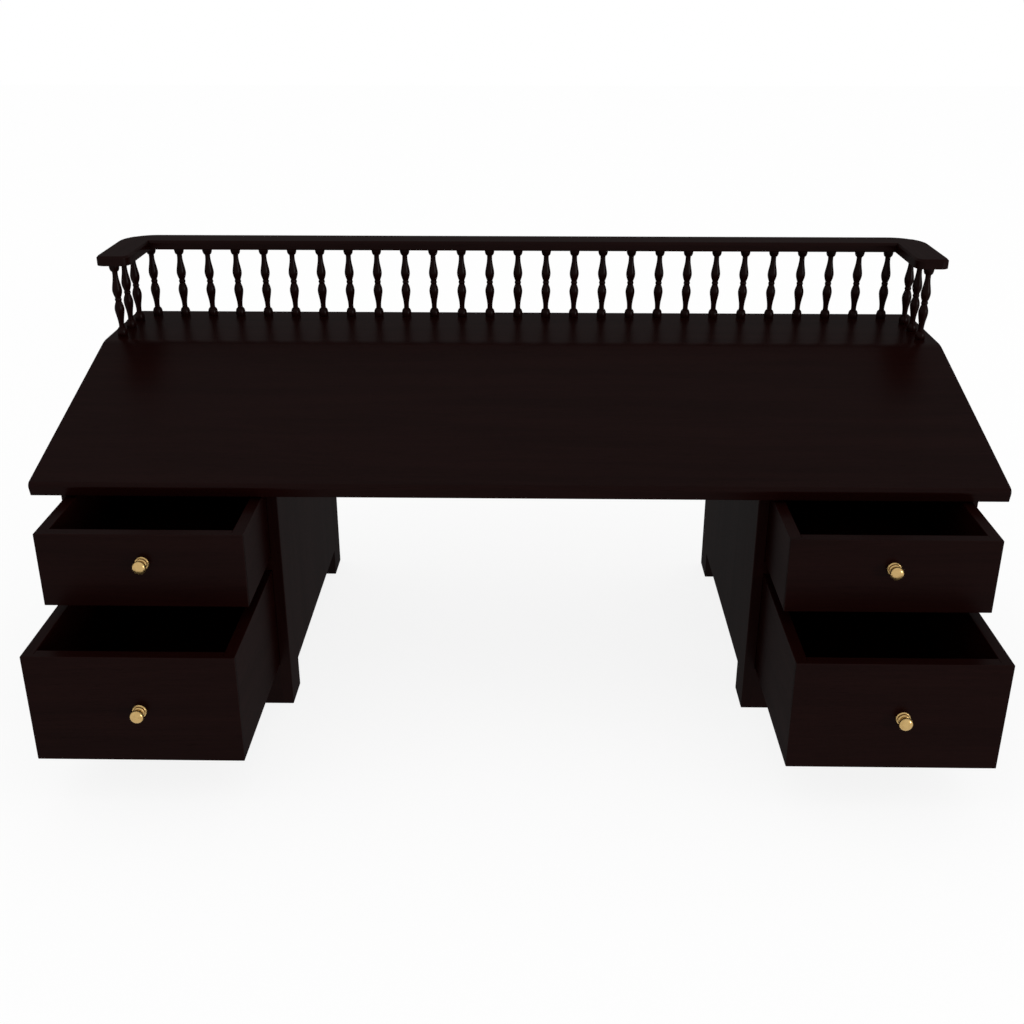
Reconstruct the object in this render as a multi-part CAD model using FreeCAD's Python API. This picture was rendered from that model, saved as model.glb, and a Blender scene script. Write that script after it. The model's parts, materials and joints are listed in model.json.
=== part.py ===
import FreeCAD, Part
import math
import os

# A low writing desk for sitting on the floor. A sloping top and a flat shelf with a turned gallery stand
# on two pedestals, each with a shallow drawer over a deep one.
# X runs to the right, Y to the back and Z up, in millimetres. Pieces are laid out with Y counted from the
# front edge of the writing top, and are moved at the end so that the origin is on the floor under the
# middle of the desk as it stands with its drawers open.

# Overall sizes
desk_width = 1200.0
desk_depth = 501.0
front_height = 332.7
shelf_height = 418.1
shelf_depth = 168.4

# Writing top and shelf
top_thickness = 18.0
front_top_radius = 6.0
front_bottom_radius = 2.0
crease_radius = 75.0

# Gallery rail and spindles
rail_width = 47.0
rail_thickness = 13.6
rail_overhang = 2.0
rail_return = 158.0
rail_corner_radius = 50.0
rail_end_inner_radius = 13.0
rail_end_outer_radius = 12.0
rail_arris = 2.8
spindle_height = 105.8
spindle_cap_radius = 7.3
spindle_neck_radius = 3.9
spindle_belly_radius = 6.95
spindle_collar_radius = 4.6
spindle_cap_length = 8.2
spindle_flare_length = 5.2
spindle_belly_from_middle = 13.9
spindle_collar_length = 4.6
spindle_flats = 12
back_spindles = 27
back_row_inset = 21.75
back_row_left_end = 37.8
back_row_right_end = 48.1
side_spindles = 3
side_spindle_pitch = 43.4
first_side_spindle = 20.5
left_row_inset = 18.0
right_row_inset = 20.9

# Pedestals
side_overhang = 25.9
front_overhang = 32.2
knee_width = 603.4
pedestal_depth = 439.6
side_panel = 13.5
back_panel = 10.0
bottom_board = 19.5
divider_board = 17.0
housing_depth = 4.0
housing_stop = 12.0
foot_height = 41.5
foot_depth = 51.0
foot_width = 50.0
base_rail_thickness = 16.0
top_rail_height = 8.6
top_rail_depth = 34.0
cleat_width = 18.0
cleat_height = 16.0
cleat_clearance = 2.0
cleat_end_gap = 12.0
stop_width = 24.0
stop_depth = 21.2
stop_height = 12.0
apron_height = 62.0
apron_thickness = 15.0

# Drawers
upper_drawer_height = 93.5
lower_drawer_opening = 219.8
upper_drawer_opening = 132.3
drawer_front = 15.2
drawer_side = 14.1
drawer_back = 12.0
drawer_bottom = 6.0
drawer_lip = 6.2
bottom_groove_rise = 9.0
bottom_groove_depth = 5.0
back_housing_depth = 4.0
back_inset = 6.0
back_drop = 6.0
drawer_side_clearance = 0.75
drawer_run_clearance = 0.4
drawer_head_clearance = 1.5
drawer_stop_clearance = 0.4
panel_clearance = 0.2

# Knobs
knob_flange_radius = 8.7
knob_flange_thickness = 1.8
knob_neck_radius = 5.4
knob_head_radius = 8.3
knob_head_thickness = 5.9
knob_projection = 15.5
upper_knob_rise = 56.4
upper_knob_shift = 0.9
lower_knob_rise = 67.1
lower_knob_shift = 6.1

# Places that follow from the sizes
half_width = desk_width / 2
crease_y = desk_depth - shelf_depth
slope = math.atan((shelf_height - front_height) / crease_y)
slope_drop = top_thickness / math.cos(slope)
under_crease_y = crease_y + top_thickness * math.tan(slope / 2)
shelf_under = shelf_height - top_thickness
rail_under = shelf_height + spindle_height
pedestal_front = front_overhang
pedestal_back = front_overhang + pedestal_depth
rail_side = half_width + rail_overhang
inner_face = knee_width / 2
outer_face = half_width - side_overhang
inner_lining = inner_face + side_panel
outer_lining = outer_face - side_panel
pedestal_middle = (inner_face + outer_face) / 2
back_lining = pedestal_back - back_panel
front_under = front_height - slope_drop
top_rail_z = front_under + pedestal_front * math.tan(slope) - top_rail_height
upper_drawer_z = top_rail_z - drawer_head_clearance - upper_drawer_height
upper_floor = upper_drawer_z - drawer_run_clearance
divider_z = upper_floor - divider_board
lower_floor = foot_height + bottom_board
lower_drawer_z = lower_floor + drawer_run_clearance
lower_drawer_height = divider_z - drawer_head_clearance - lower_drawer_z
drawer_width = outer_lining - inner_lining - 2 * drawer_side_clearance
drawer_length = back_lining - pedestal_front - stop_depth - drawer_stop_clearance
furthest_front = pedestal_front - max(lower_drawer_opening, upper_drawer_opening) - knob_projection
middle_y = (furthest_front + desk_depth) / 2


def point(x, y, z):
    """A point or direction in space."""
    return FreeCAD.Vector(x, y, z)


def board(x_span, y_span, z_span):
    """A square-edged board between two places along each axis, given in any order."""
    low = point(min(x_span), min(y_span), min(z_span))
    high = point(max(x_span), max(y_span), max(z_span))
    size = high - low
    return Part.makeBox(size.x, size.y, size.z, low)


def prism(corners, travel):
    """The solid that a flat outline of straight edges sweeps along a straight way."""
    outline = Part.makePolygon(corners + corners[:1])
    return Part.Face(outline).extrude(travel)


def side_profile(yz_corners, x_span):
    """A board cut to an outline seen from the side, between two places along X."""
    start = min(x_span)
    corners = [point(start, y, z) for y, z in yz_corners]
    return prism(corners, point(max(x_span) - start, 0, 0))


def plan_profile(xy_corners, z_span):
    """A board cut to an outline seen from above, between two heights."""
    start = min(z_span)
    corners = [point(x, y, start) for x, y in xy_corners]
    return prism(corners, point(0, 0, max(z_span) - start))


def front_profile(xz_corners, y_span):
    """A board cut to an outline seen from the front, between two places along Y."""
    start = min(y_span)
    corners = [point(x, start, z) for x, z in xz_corners]
    return prism(corners, point(0, max(y_span) - start, 0))


def turned(profile, foot, axis):
    """A turned solid from (radius, distance along the axis) pairs, standing on its axis at foot."""
    ends = [(0.0, profile[0][1])] + profile + [(0.0, profile[-1][1])]
    corners = [point(radius, 0, along) for radius, along in ends]
    outline = Part.Face(Part.makePolygon(corners + corners[:1]))
    solid = outline.revolve(point(0, 0, 0), point(0, 0, 1), 360)
    solid.Placement = FreeCAD.Placement(foot, FreeCAD.Rotation(point(0, 0, 1), axis))
    return solid


def flatted(profile, flats, foot):
    """An upright turned solid drawn with flats round it, from (radius, height) pairs, standing at foot."""
    turn = 2 * math.pi / flats
    rings = []
    for radius, height in profile:
        angles = [turn * (k + 0.5) for k in range(flats)]
        rings.append([foot + point(radius * math.cos(a), radius * math.sin(a), height) for a in angles])
    outlines = [rings[0], rings[-1]]
    for low, high in zip(rings, rings[1:]):
        outlines += [[low[k - 1], low[k], high[k], high[k - 1]] for k in range(flats)]
    faces = [Part.Face(Part.makePolygon(corners + corners[:1])) for corners in outlines]
    return Part.Solid(Part.makeShell(faces))


def straight_edges(shape, direction, keep):
    """The straight edges of a shape along a direction whose middle point passes a test."""
    chosen = []
    for edge in shape.Edges:
        if edge.Curve.TypeId != "Part::GeomLine":
            continue
        if edge.Curve.Direction.cross(direction).Length < 1e-6 and keep(edge.CenterOfMass):
            chosen.append(edge)
    return chosen


def under_top(y):
    """Height of the underside of the writing top and shelf at a place along Y."""
    return min(front_under + y * math.tan(slope), shelf_under)


def save(node, *solids):
    """Writes the solids of one node, moved to the desk's own origin."""
    shape = solids[0] if len(solids) == 1 else Part.makeCompound(list(solids))
    shape.translate(point(0, -middle_y, 0))
    shape.exportStep("parts/" + node + ".step")


def top_boards():
    """The sloping board and the shelf as one length, before they are cut apart along the mitre.

    The front edge is square to the slope and rounded above and below, and the crease is eased off.
    """
    edge_drop = top_thickness * math.cos(slope)
    edge_lean = top_thickness * math.sin(slope)
    corners = [
        (edge_lean, front_height - edge_drop),
        (0, front_height),
        (crease_y, shelf_height),
        (desk_depth, shelf_height),
        (desk_depth, shelf_under),
        (under_crease_y, shelf_under),
    ]
    boards = side_profile(corners, (-half_width, half_width))
    along = point(1, 0, 0)
    middle = front_height - edge_drop / 2
    upper = straight_edges(boards, along, lambda at: at.y < 1 and at.z > middle)
    boards = boards.makeFillet(front_top_radius, upper)
    lower = straight_edges(boards, along, lambda at: at.y < edge_lean + 1 and at.z < middle - edge_drop / 3)
    boards = boards.makeFillet(front_bottom_radius, lower)
    crease = straight_edges(boards, along, lambda at: abs(at.y - crease_y) < 1 and at.z > shelf_height - 1)
    return boards.makeFillet(crease_radius, crease)


def before_mitre():
    """Everything in front of the mitre between the writing top and the shelf."""
    low, high = 0.0, shelf_height + top_thickness
    lean = math.tan(slope / 2)
    corners = [
        (-top_thickness, low),
        (crease_y + (shelf_height - low) * lean, low),
        (crease_y + (shelf_height - high) * lean, high),
        (-top_thickness, high),
    ]
    return side_profile(corners, (-half_width - 1, half_width + 1))


def gallery_rail():
    """The whole rail before it is cut at the mitres: a flat U with rounded back corners and soft arrises."""
    front = desk_depth - rail_return
    inner_x = rail_side - rail_width
    inner_y = desk_depth - rail_width
    corners = [
        (-rail_side, front),
        (-rail_side, desk_depth),
        (rail_side, desk_depth),
        (rail_side, front),
        (inner_x, front),
        (inner_x, inner_y),
        (-inner_x, inner_y),
        (-inner_x, front),
    ]
    rail = plan_profile(corners, (rail_under, rail_under + rail_thickness))
    up = point(0, 0, 1)
    back = straight_edges(rail, up, lambda at: at.y > desk_depth - 1)
    rail = rail.makeFillet(rail_corner_radius, back)
    inner = straight_edges(rail, up, lambda at: at.y < front + 1 and abs(at.x) < inner_x + 1)
    rail = rail.makeFillet(rail_end_inner_radius, inner)
    outer = straight_edges(rail, up, lambda at: at.y < front + 1 and abs(at.x) > rail_side - 1)
    rail = rail.makeFillet(rail_end_outer_radius, outer)
    upper_face = max(rail.Faces, key=lambda face: face.CenterOfMass.z)
    return rail.makeChamfer(rail_arris, upper_face.OuterWire.Edges)


def gallery_rails():
    """The back length and the two returns of the rail, cut apart along the mitres."""
    rail = gallery_rail()
    heights = (rail_under - 1, rail_under + rail_thickness + 1)
    reach = rail_return + 1
    pieces = {"gallery_rail_back": rail}
    for side, name in ((-1, "left"), (1, "right")):
        corner = side * rail_side
        wedge_outline = [
            (corner + side, desk_depth + 1),
            (corner + side, desk_depth - reach),
            (corner - side * reach, desk_depth - reach),
        ]
        wedge = plan_profile(wedge_outline, heights)
        pieces["gallery_rail_" + name] = rail.common(wedge)
        pieces["gallery_rail_back"] = pieces["gallery_rail_back"].cut(wedge)
    return pieces


def spindle(x, y):
    """A turned spindle: a flared cap at each end and two vases back to back at a waist collar."""
    middle = spindle_height / 2
    flare = middle - spindle_cap_length
    half = [
        (spindle_collar_radius, spindle_collar_length / 2),
        (spindle_belly_radius, spindle_belly_from_middle),
        (spindle_neck_radius, flare - spindle_flare_length),
        (spindle_cap_radius, flare),
        (spindle_cap_radius, middle),
    ]
    lower = [(radius, middle - along) for radius, along in reversed(half)]
    upper = [(radius, middle + along) for radius, along in half]
    return flatted(lower + upper, spindle_flats, point(x, y, shelf_height))


def back_spindle_row():
    """The spindles under the back length of the rail, at an even pitch."""
    start = back_row_left_end - half_width
    pitch = (half_width - back_row_right_end - start) / (back_spindles - 1)
    y = desk_depth - back_row_inset
    return [spindle(start + i * pitch, y) for i in range(back_spindles)]


def side_spindle_row(side, inset):
    """The spindles under one return of the rail, set in from the end of the shelf."""
    start = desk_depth - rail_return + first_side_spindle
    x = side * (half_width - inset)
    return [spindle(x, start + i * side_spindle_pitch) for i in range(side_spindles)]


def housed_board(side, thickness_span, front, back):
    """A level board let into housings in both pedestal sides, which stop short of the front."""
    stop = max(front, pedestal_front + housing_stop)
    left, right = inner_lining, outer_lining
    corners = [
        (side * left, front),
        (side * left, stop),
        (side * (left - housing_depth), stop),
        (side * (left - housing_depth), back),
        (side * (right + housing_depth), back),
        (side * (right + housing_depth), stop),
        (side * right, stop),
        (side * right, front),
    ]
    if stop == front:
        corners = corners[2:6]
    return plan_profile(corners, thickness_span)


def pedestal_side(x_span, boards):
    """A pedestal side cut to the slope above, notched below to leave two feet, and housed for the boards."""
    corners = [
        (pedestal_front, 0),
        (pedestal_front + foot_depth, 0),
        (pedestal_front + foot_depth, foot_height),
        (pedestal_back - foot_depth, foot_height),
        (pedestal_back - foot_depth, 0),
        (pedestal_back, 0),
        (pedestal_back, shelf_under),
        (under_crease_y, shelf_under),
        (pedestal_front, under_top(pedestal_front)),
    ]
    panel = side_profile(corners, x_span)
    for level in boards:
        panel = panel.cut(level)
    return panel


def base_rail(side):
    """The board under the lower drawer, notched below between its two feet."""
    leg = foot_width - side_panel
    near, far = inner_lining, outer_lining
    outline = [
        (near, 0),
        (near + leg, 0),
        (near + leg, foot_height),
        (far - leg, foot_height),
        (far - leg, 0),
        (far, 0),
        (far, lower_floor),
        (near, lower_floor),
    ]
    corners = [(side * x, z) for x, z in outline]
    return front_profile(corners, (pedestal_front, pedestal_front + base_rail_thickness))


def top_rail(side):
    """The thin rail over the upper drawer, bevelled to the slope of the top."""
    back = pedestal_front + top_rail_depth
    corners = [
        (pedestal_front, top_rail_z),
        (back, top_rail_z),
        (back, under_top(back)),
        (pedestal_front, under_top(pedestal_front)),
    ]
    return side_profile(corners, (side * inner_lining, side * outer_lining))


def foot_blocks(side):
    """Four blocks that fill the feet behind the pedestal's sides and base rail."""
    leg = foot_width - side_panel
    front_span = (pedestal_front + base_rail_thickness, pedestal_front + foot_depth)
    back_span = (pedestal_back - foot_depth, pedestal_back)
    blocks = []
    for lining, inward in ((inner_lining, 1), (outer_lining, -1)):
        x_span = (side * lining, side * (lining + inward * leg))
        blocks += [board(x_span, y_span, (0, foot_height)) for y_span in (front_span, back_span)]
    return blocks


def top_cleats(side):
    """Two battens inside the pedestal's sides, under the slope, that the top is screwed to.

    They start behind the top rail, where there is room for them over the upper drawer.
    """
    clear_z = top_rail_z + cleat_clearance + cleat_height
    clear_y = (clear_z - front_under) / math.tan(slope)
    start = max(clear_y, pedestal_front + top_rail_depth + cleat_clearance)
    end = under_crease_y - cleat_end_gap
    corners = [
        (start, under_top(start)),
        (end, under_top(end)),
        (end, under_top(end) - cleat_height),
        (start, under_top(start) - cleat_height),
    ]
    near = (side * inner_lining, side * (inner_lining + cleat_width))
    far = (side * outer_lining, side * (outer_lining - cleat_width))
    return [side_profile(corners, x_span) for x_span in (near, far)]


def drawer_stops(side):
    """Four blocks at the back that the drawers close against, two on each level."""
    y_span = (pedestal_front + drawer_length + drawer_stop_clearance, back_lining)
    near = (side * inner_lining, side * (inner_lining + stop_width))
    far = (side * outer_lining, side * (outer_lining - stop_width))
    floors = (lower_floor, upper_floor)
    return [board(x_span, y_span, (z, z + stop_height)) for z in floors for x_span in (near, far)]


def pedestal(side, name):
    """Saves every piece of one pedestal."""
    lower = housed_board(side, (foot_height, lower_floor), pedestal_front + base_rail_thickness, back_lining)
    middle = housed_board(side, (divider_z, upper_floor), pedestal_front, back_lining)
    levels = (lower, middle)
    lining_span = (side * inner_lining, side * outer_lining)
    back = board(lining_span, (back_lining, pedestal_back), (foot_height, shelf_under))
    save(name + "_inner_side", pedestal_side((side * inner_face, side * inner_lining), levels))
    save(name + "_outer_side", pedestal_side((side * outer_face, side * outer_lining), levels))
    save(name + "_bottom_board", lower)
    save(name + "_drawer_divider", middle)
    save(name + "_back_panel", back)
    save(name + "_base_rail", base_rail(side))
    save(name + "_top_rail", top_rail(side))
    save(name + "_foot_blocks", *foot_blocks(side))
    save(name + "_top_cleats", *top_cleats(side))
    save(name + "_drawer_stops", *drawer_stops(side))


def rear_apron():
    """The board between the pedestals under the back of the shelf."""
    y_span = (pedestal_back - apron_thickness, pedestal_back)
    return board((-inner_face, inner_face), y_span, (shelf_under - apron_height, shelf_under))


def knob(x, y, z):
    """A turned brass knob on the face of a drawer front: flange, neck and round head."""
    head = knob_projection - knob_head_thickness
    profile = [
        (knob_flange_radius, 0),
        (knob_flange_radius, knob_flange_thickness),
        (knob_neck_radius, knob_flange_thickness),
        (knob_neck_radius, head),
        (knob_head_radius, head),
        (knob_head_radius, knob_projection),
    ]
    return turned(profile, point(x, y, z), point(0, -1, 0))


def drawer(side, name, z, height, opening, knob_rise, knob_shift):
    """Saves every piece of one drawer, pulled out by its opening."""
    middle = side * pedestal_middle
    left = middle - drawer_width / 2
    right = middle + drawer_width / 2
    face = pedestal_front - opening
    front_back = face + drawer_front
    lip_back = face + drawer_lip
    end = face + drawer_length
    groove_z = z + bottom_groove_rise
    groove_top = groove_z + drawer_bottom + 2 * panel_clearance
    tongue = bottom_groove_depth - panel_clearance
    inner_left = left + drawer_side
    inner_right = right - drawer_side

    front_corners = [
        (left, face),
        (right, face),
        (right, lip_back),
        (inner_right, lip_back),
        (inner_right, front_back),
        (inner_left, front_back),
        (inner_left, lip_back),
        (left, lip_back),
    ]
    groove_x = (inner_left - bottom_groove_depth, inner_right + bottom_groove_depth)
    groove = board(groove_x, (front_back - bottom_groove_depth, end), (groove_z, groove_top))
    back_y = (end - back_inset - drawer_back, end - back_inset)
    back_x = (inner_left - back_housing_depth, inner_right + back_housing_depth)
    back = board(back_x, back_y, (groove_top, z + height - back_drop))
    bottom_x = (inner_left - tongue, inner_right + tongue)
    bottom_y = (front_back - tongue, end)
    bottom_z = (groove_z + panel_clearance, groove_top - panel_clearance)
    sides = {"left": (left, inner_left), "right": (inner_right, right)}

    save(name + "_front", plan_profile(front_corners, (z, z + height)).cut(groove))
    for hand, x_span in sides.items():
        panel = board(x_span, (lip_back, end), (z, z + height))
        save(name + "_side_" + hand, panel.cut(groove).cut(back))
    save(name + "_back", back)
    save(name + "_bottom", board(bottom_x, bottom_y, bottom_z))
    save(name + "_knob", knob(middle + knob_shift, face, z + knob_rise))


def build():
    """Writes every node of the desk to the parts folder."""
    os.makedirs("parts", exist_ok=True)
    boards = top_boards()
    save("writing_top", boards.common(before_mitre()))
    save("back_shelf", boards.cut(before_mitre()))
    for node, piece in gallery_rails().items():
        save(node, piece)
    save("gallery_spindles_back", *back_spindle_row())
    save("rear_apron", rear_apron())
    for side, name, inset in ((-1, "left", left_row_inset), (1, "right", right_row_inset)):
        save("gallery_spindles_" + name, *side_spindle_row(side, inset))
        pedestal(side, name)
        drawer(
            side,
            name + "_upper_drawer",
            upper_drawer_z,
            upper_drawer_height,
            upper_drawer_opening,
            upper_knob_rise,
            upper_knob_shift,
        )
        drawer(
            side,
            name + "_lower_drawer",
            lower_drawer_z,
            lower_drawer_height,
            lower_drawer_opening,
            lower_knob_rise,
            lower_knob_shift,
        )


build()
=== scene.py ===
"""Looks of a low writing desk: stained boards with eased arrises, a turned gallery and brass knobs.

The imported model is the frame. Every board is an eased copy of its own node or swept from its outline, the
spindles and knobs are turned from their profiles, and Geometry Nodes set the rows of spindles and the
screws. Lengths are in metres.
"""

from __future__ import annotations

import json
import logging
import math
from abc import ABC, abstractmethod
from dataclasses import dataclass, field
from enum import Enum
from typing import Iterator, Sequence, Union

import bmesh
import bpy
from bpy.types import Material, Mesh, Node, NodeOutputs, NodeSocket as Socket, NodeTree, Object
from mathutils import Matrix, Vector
from mathutils.bvhtree import BVHTree


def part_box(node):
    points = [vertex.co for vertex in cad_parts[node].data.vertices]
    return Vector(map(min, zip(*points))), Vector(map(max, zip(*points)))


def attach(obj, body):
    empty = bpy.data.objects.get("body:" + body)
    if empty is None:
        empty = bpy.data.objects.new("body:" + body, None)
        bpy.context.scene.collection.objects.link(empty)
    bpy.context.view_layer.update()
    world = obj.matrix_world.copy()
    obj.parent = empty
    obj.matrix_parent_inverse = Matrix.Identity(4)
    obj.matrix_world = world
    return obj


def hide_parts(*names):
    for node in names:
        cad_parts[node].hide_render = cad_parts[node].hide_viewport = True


LOG = logging.getLogger("low_desk")
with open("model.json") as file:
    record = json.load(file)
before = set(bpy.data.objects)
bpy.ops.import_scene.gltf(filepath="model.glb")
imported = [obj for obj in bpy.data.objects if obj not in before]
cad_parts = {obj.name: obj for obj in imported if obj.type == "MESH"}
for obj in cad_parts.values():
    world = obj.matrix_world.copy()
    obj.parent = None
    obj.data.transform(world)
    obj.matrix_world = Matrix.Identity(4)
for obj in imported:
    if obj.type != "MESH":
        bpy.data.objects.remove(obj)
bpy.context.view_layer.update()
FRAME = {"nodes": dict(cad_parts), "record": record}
MERGE_GAP = 2e-6
FULL_TURN = 2 * math.pi
QUARTER_TURN = math.pi / 2
TO_THE_BACK = Vector((0.0, 1.0, 0.0))
WHITE = (1.0, 1.0, 1.0)
CLOUD_SPAN = (0.3, 0.7)
UNIT_SPAN = (0.0, 1.0)

Triple = tuple[float, float, float]
Spot = tuple[float, float]
Profile = list[Spot]
Seat = tuple[Vector, Vector]
Value = Union[Socket, float, str, Triple]
Inputs = dict[Union[str, int], Value]


class GrainRun(Enum):
    """The way the grain of a board runs, with the turn that lays the pattern along it."""

    ALONG_WIDTH = (0.0, 0.0, 0.0)
    ALONG_DEPTH = (0.0, 0.0, QUARTER_TURN)
    UPRIGHT = (0.0, QUARTER_TURN, 0.0)


class Hand(Enum):
    """A pedestal's side of the desk, by the word that node names use."""

    LEFT = "left"
    RIGHT = "right"


class Level(Enum):
    """A drawer's place in its pedestal, by the word that node names use."""

    UPPER = "upper"
    LOWER = "lower"


class GroupKind(Enum):
    """What a node group works on."""

    SHADER = "ShaderNodeTree"
    GEOMETRY = "GeometryNodeTree"


class NodeSheet:
    """Adds, fills and joins nodes in one shader or geometry tree."""

    def __init__(self, tree: NodeTree) -> None:
        """Keeps the tree to work in."""
        self.tree = tree

    def fill(self, node: Node, values: Inputs) -> None:
        """Links values into a node's inputs, or sets the inputs to them.

        Args:
            node: The node.
            values: Sockets, numbers, words or colours, by the input's name or number.
        """
        for key, value in values.items():
            socket = node.inputs[key]
            if isinstance(value, Socket):
                self.tree.links.new(value, socket)
            elif socket.type == "RGBA":
                socket.default_value = (*value, 1.0)
            else:
                socket.default_value = value

    def add(self, kind: str, values: Inputs | None = None, **options: object) -> Node:
        """Adds a node, sets its options and fills its inputs.

        Args:
            kind: The node's type name.
            values: What goes into its inputs.
            **options: Options of the node, by attribute name.

        Returns:
            The new node.
        """
        node = self.tree.nodes.new(kind)
        for key, option in options.items():
            setattr(node, key, option)
        self.fill(node, values or {})
        return node

    def number(self, operation: str, first: Value, second: Value = 0.0) -> Socket:
        """Works on two numbers with a Math node."""
        return self.add("ShaderNodeMath", {0: first, 1: second}, operation=operation).outputs[0]

    def vector(self, operation: str, first: Value, second: Value) -> Socket:
        """Works on two vectors with a Vector Math node."""
        return self.add("ShaderNodeVectorMath", {0: first, 1: second}, operation=operation).outputs[0]

    def mix_colour(self, factor: Value, first: Value, second: Value) -> Socket:
        """Mixes two colours, from the first at factor 0 to the second at factor 1."""
        values = {0: factor, 6: first, 7: second}
        return self.add("ShaderNodeMix", values, data_type="RGBA", clamp_factor=True).outputs[2]

    def ramp(self, value: Socket, given: Spot, wanted: Spot) -> Socket:
        """Maps a value smoothly from its own range to a wanted one, and holds it there."""
        values = dict(zip(("Value", "From Min", "From Max", "To Min", "To Max"), (value, *given, *wanted)))
        return self.add("ShaderNodeMapRange", values, interpolation_type="SMOOTHSTEP").outputs["Result"]

    def stored(self, attribute: str) -> Socket:
        """Reads a number that is stored on the points of a piece."""
        return self.add("ShaderNodeAttribute", attribute_name=attribute).outputs["Fac"]


class GroupSheet(NodeSheet):
    """The sheet of a new node group with named inputs and outputs."""

    def __init__(self, name: str, kind: GroupKind, inputs: dict[str, str], outputs: dict[str, str]) -> None:
        """Makes the group and its sockets.

        Args:
            name: The group's name.
            kind: What the group works on.
            inputs: Socket types by input name.
            outputs: Socket types by output name.
        """
        super().__init__(bpy.data.node_groups.new(name, kind.value))
        for way, sockets in (("INPUT", inputs), ("OUTPUT", outputs)):
            for label, socket in sockets.items():
                self.tree.interface.new_socket(label, in_out=way, socket_type="NodeSocket" + socket)
        self.given = self.add("NodeGroupInput").outputs
        self.made = self.add("NodeGroupOutput")


class MaterialSheet(NodeSheet):
    """The sheet of a new material with no nodes."""

    def __init__(self, name: str) -> None:
        """Makes the material.

        Args:
            name: The material's name.
        """
        self.material = bpy.data.materials.new(name)
        self.material.use_nodes = True
        super().__init__(self.material.node_tree)
        self.tree.nodes.clear()

    def place(self) -> Socket:
        """Reads where a point lies in Object coordinates."""
        return self.add("ShaderNodeTexCoord").outputs["Object"]

    def bump(self, height: Socket, strength: float, distance: float) -> Socket:
        """Turns a height into a normal."""
        values = {"Height": height, "Strength": strength, "Distance": distance}
        return self.add("ShaderNodeBump", values).outputs[0]

    def end(self, shader: str, values: Inputs) -> Material:
        """Shows a shader, given by its node's type name, on the surface and gives the material."""
        self.add("ShaderNodeOutputMaterial", {"Surface": self.add(shader, values).outputs[0]})
        return self.material


class SharedEffect(ABC):
    """A shader group that is built once and placed in each finish that uses it."""

    name: str

    @abstractmethod
    def build(self) -> NodeTree:
        """Builds the group's tree."""

    def place(self, sheet: NodeSheet, values: Inputs) -> NodeOutputs:
        """Puts the group into a material's sheet and gives its outputs."""
        tree = bpy.data.node_groups.get(self.name) or self.build()
        return sheet.add("ShaderNodeGroup", values, node_tree=tree).outputs


@dataclass(frozen=True)
class Waves:
    """A noise that is longer along the grain: its waves in a metre each way, and its octaves."""

    in_a_metre: Triple
    octaves: float


@dataclass(frozen=True)
class WoodGrain(SharedEffect):
    """Swaying figure, growth streaks and open pores with the grain along X, different on every board."""

    name: str = "wood_grain"
    sway: Waves = Waves((1.3, 5.0, 5.0), 1.0)
    sway_middle: Triple = (0.5, 0.5, 0.5)
    sway_reach: Triple = (0.0, 0.05, 0.05)
    figure: Waves = Waves((2.2, 40.0, 40.0), 3.0)
    figure_share: float = 0.55
    figure_span: Spot = (0.34, 0.66)
    streaks: Waves = Waves((6.0, 420.0, 420.0), 4.0)
    streak_share: float = 0.45
    streak_relief: float = 0.35
    pores: Waves = Waves((45.0, 1600.0, 1600.0), 2.0)
    pore_span: Spot = (0.58, 0.70)
    octave_weight: float = 0.55
    distortion: float = 0.4

    def noise(self, sheet: NodeSheet, place: Socket, board: Socket, waves: Waves) -> NodeOutputs:
        """Adds a stretched noise.

        Args:
            sheet: The group's sheet.
            place: Where on the board, with the grain along X.
            board: The board's own number.
            waves: The noise's measures.

        Returns:
            The noise's outputs: a number, then a colour.
        """
        values = {
            "Vector": sheet.vector("MULTIPLY", place, waves.in_a_metre),
            "W": board,
            "Scale": 1.0,
            "Detail": waves.octaves,
            "Roughness": self.octave_weight,
            "Distortion": self.distortion,
        }
        return sheet.add("ShaderNodeTexNoise", values, noise_dimensions="4D").outputs

    def build(self) -> NodeTree:
        """Builds the group's tree.

        Returns:
            The tree.
        """
        inputs = {"Vector": "Vector", "Board": "Float"}
        outputs = {"Figure": "Float", "Pores": "Float", "Height": "Float"}
        sheet = GroupSheet(self.name, GroupKind.SHADER, inputs, outputs)
        place, board = sheet.given["Vector"], sheet.given["Board"]
        sway = sheet.vector("SUBTRACT", self.noise(sheet, place, board, self.sway)[1], self.sway_middle)
        place = sheet.vector("ADD", place, sheet.vector("MULTIPLY", sway, self.sway_reach))
        figure, streaks, pores = (
            self.noise(sheet, place, board, waves)[0] for waves in (self.figure, self.streaks, self.pores)
        )
        broad = sheet.number("MULTIPLY", figure, self.figure_share)
        fine = sheet.number("MULTIPLY", streaks, self.streak_share)
        open_pores = sheet.ramp(pores, self.pore_span, UNIT_SPAN)
        ridges = sheet.number("MULTIPLY", streaks, self.streak_relief)
        made = {
            "Figure": sheet.ramp(sheet.number("ADD", broad, fine), self.figure_span, UNIT_SPAN),
            "Pores": open_pores,
            "Height": sheet.number("SUBTRACT", ridges, open_pores),
        }
        sheet.fill(sheet.made, made)
        return sheet.tree


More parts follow.
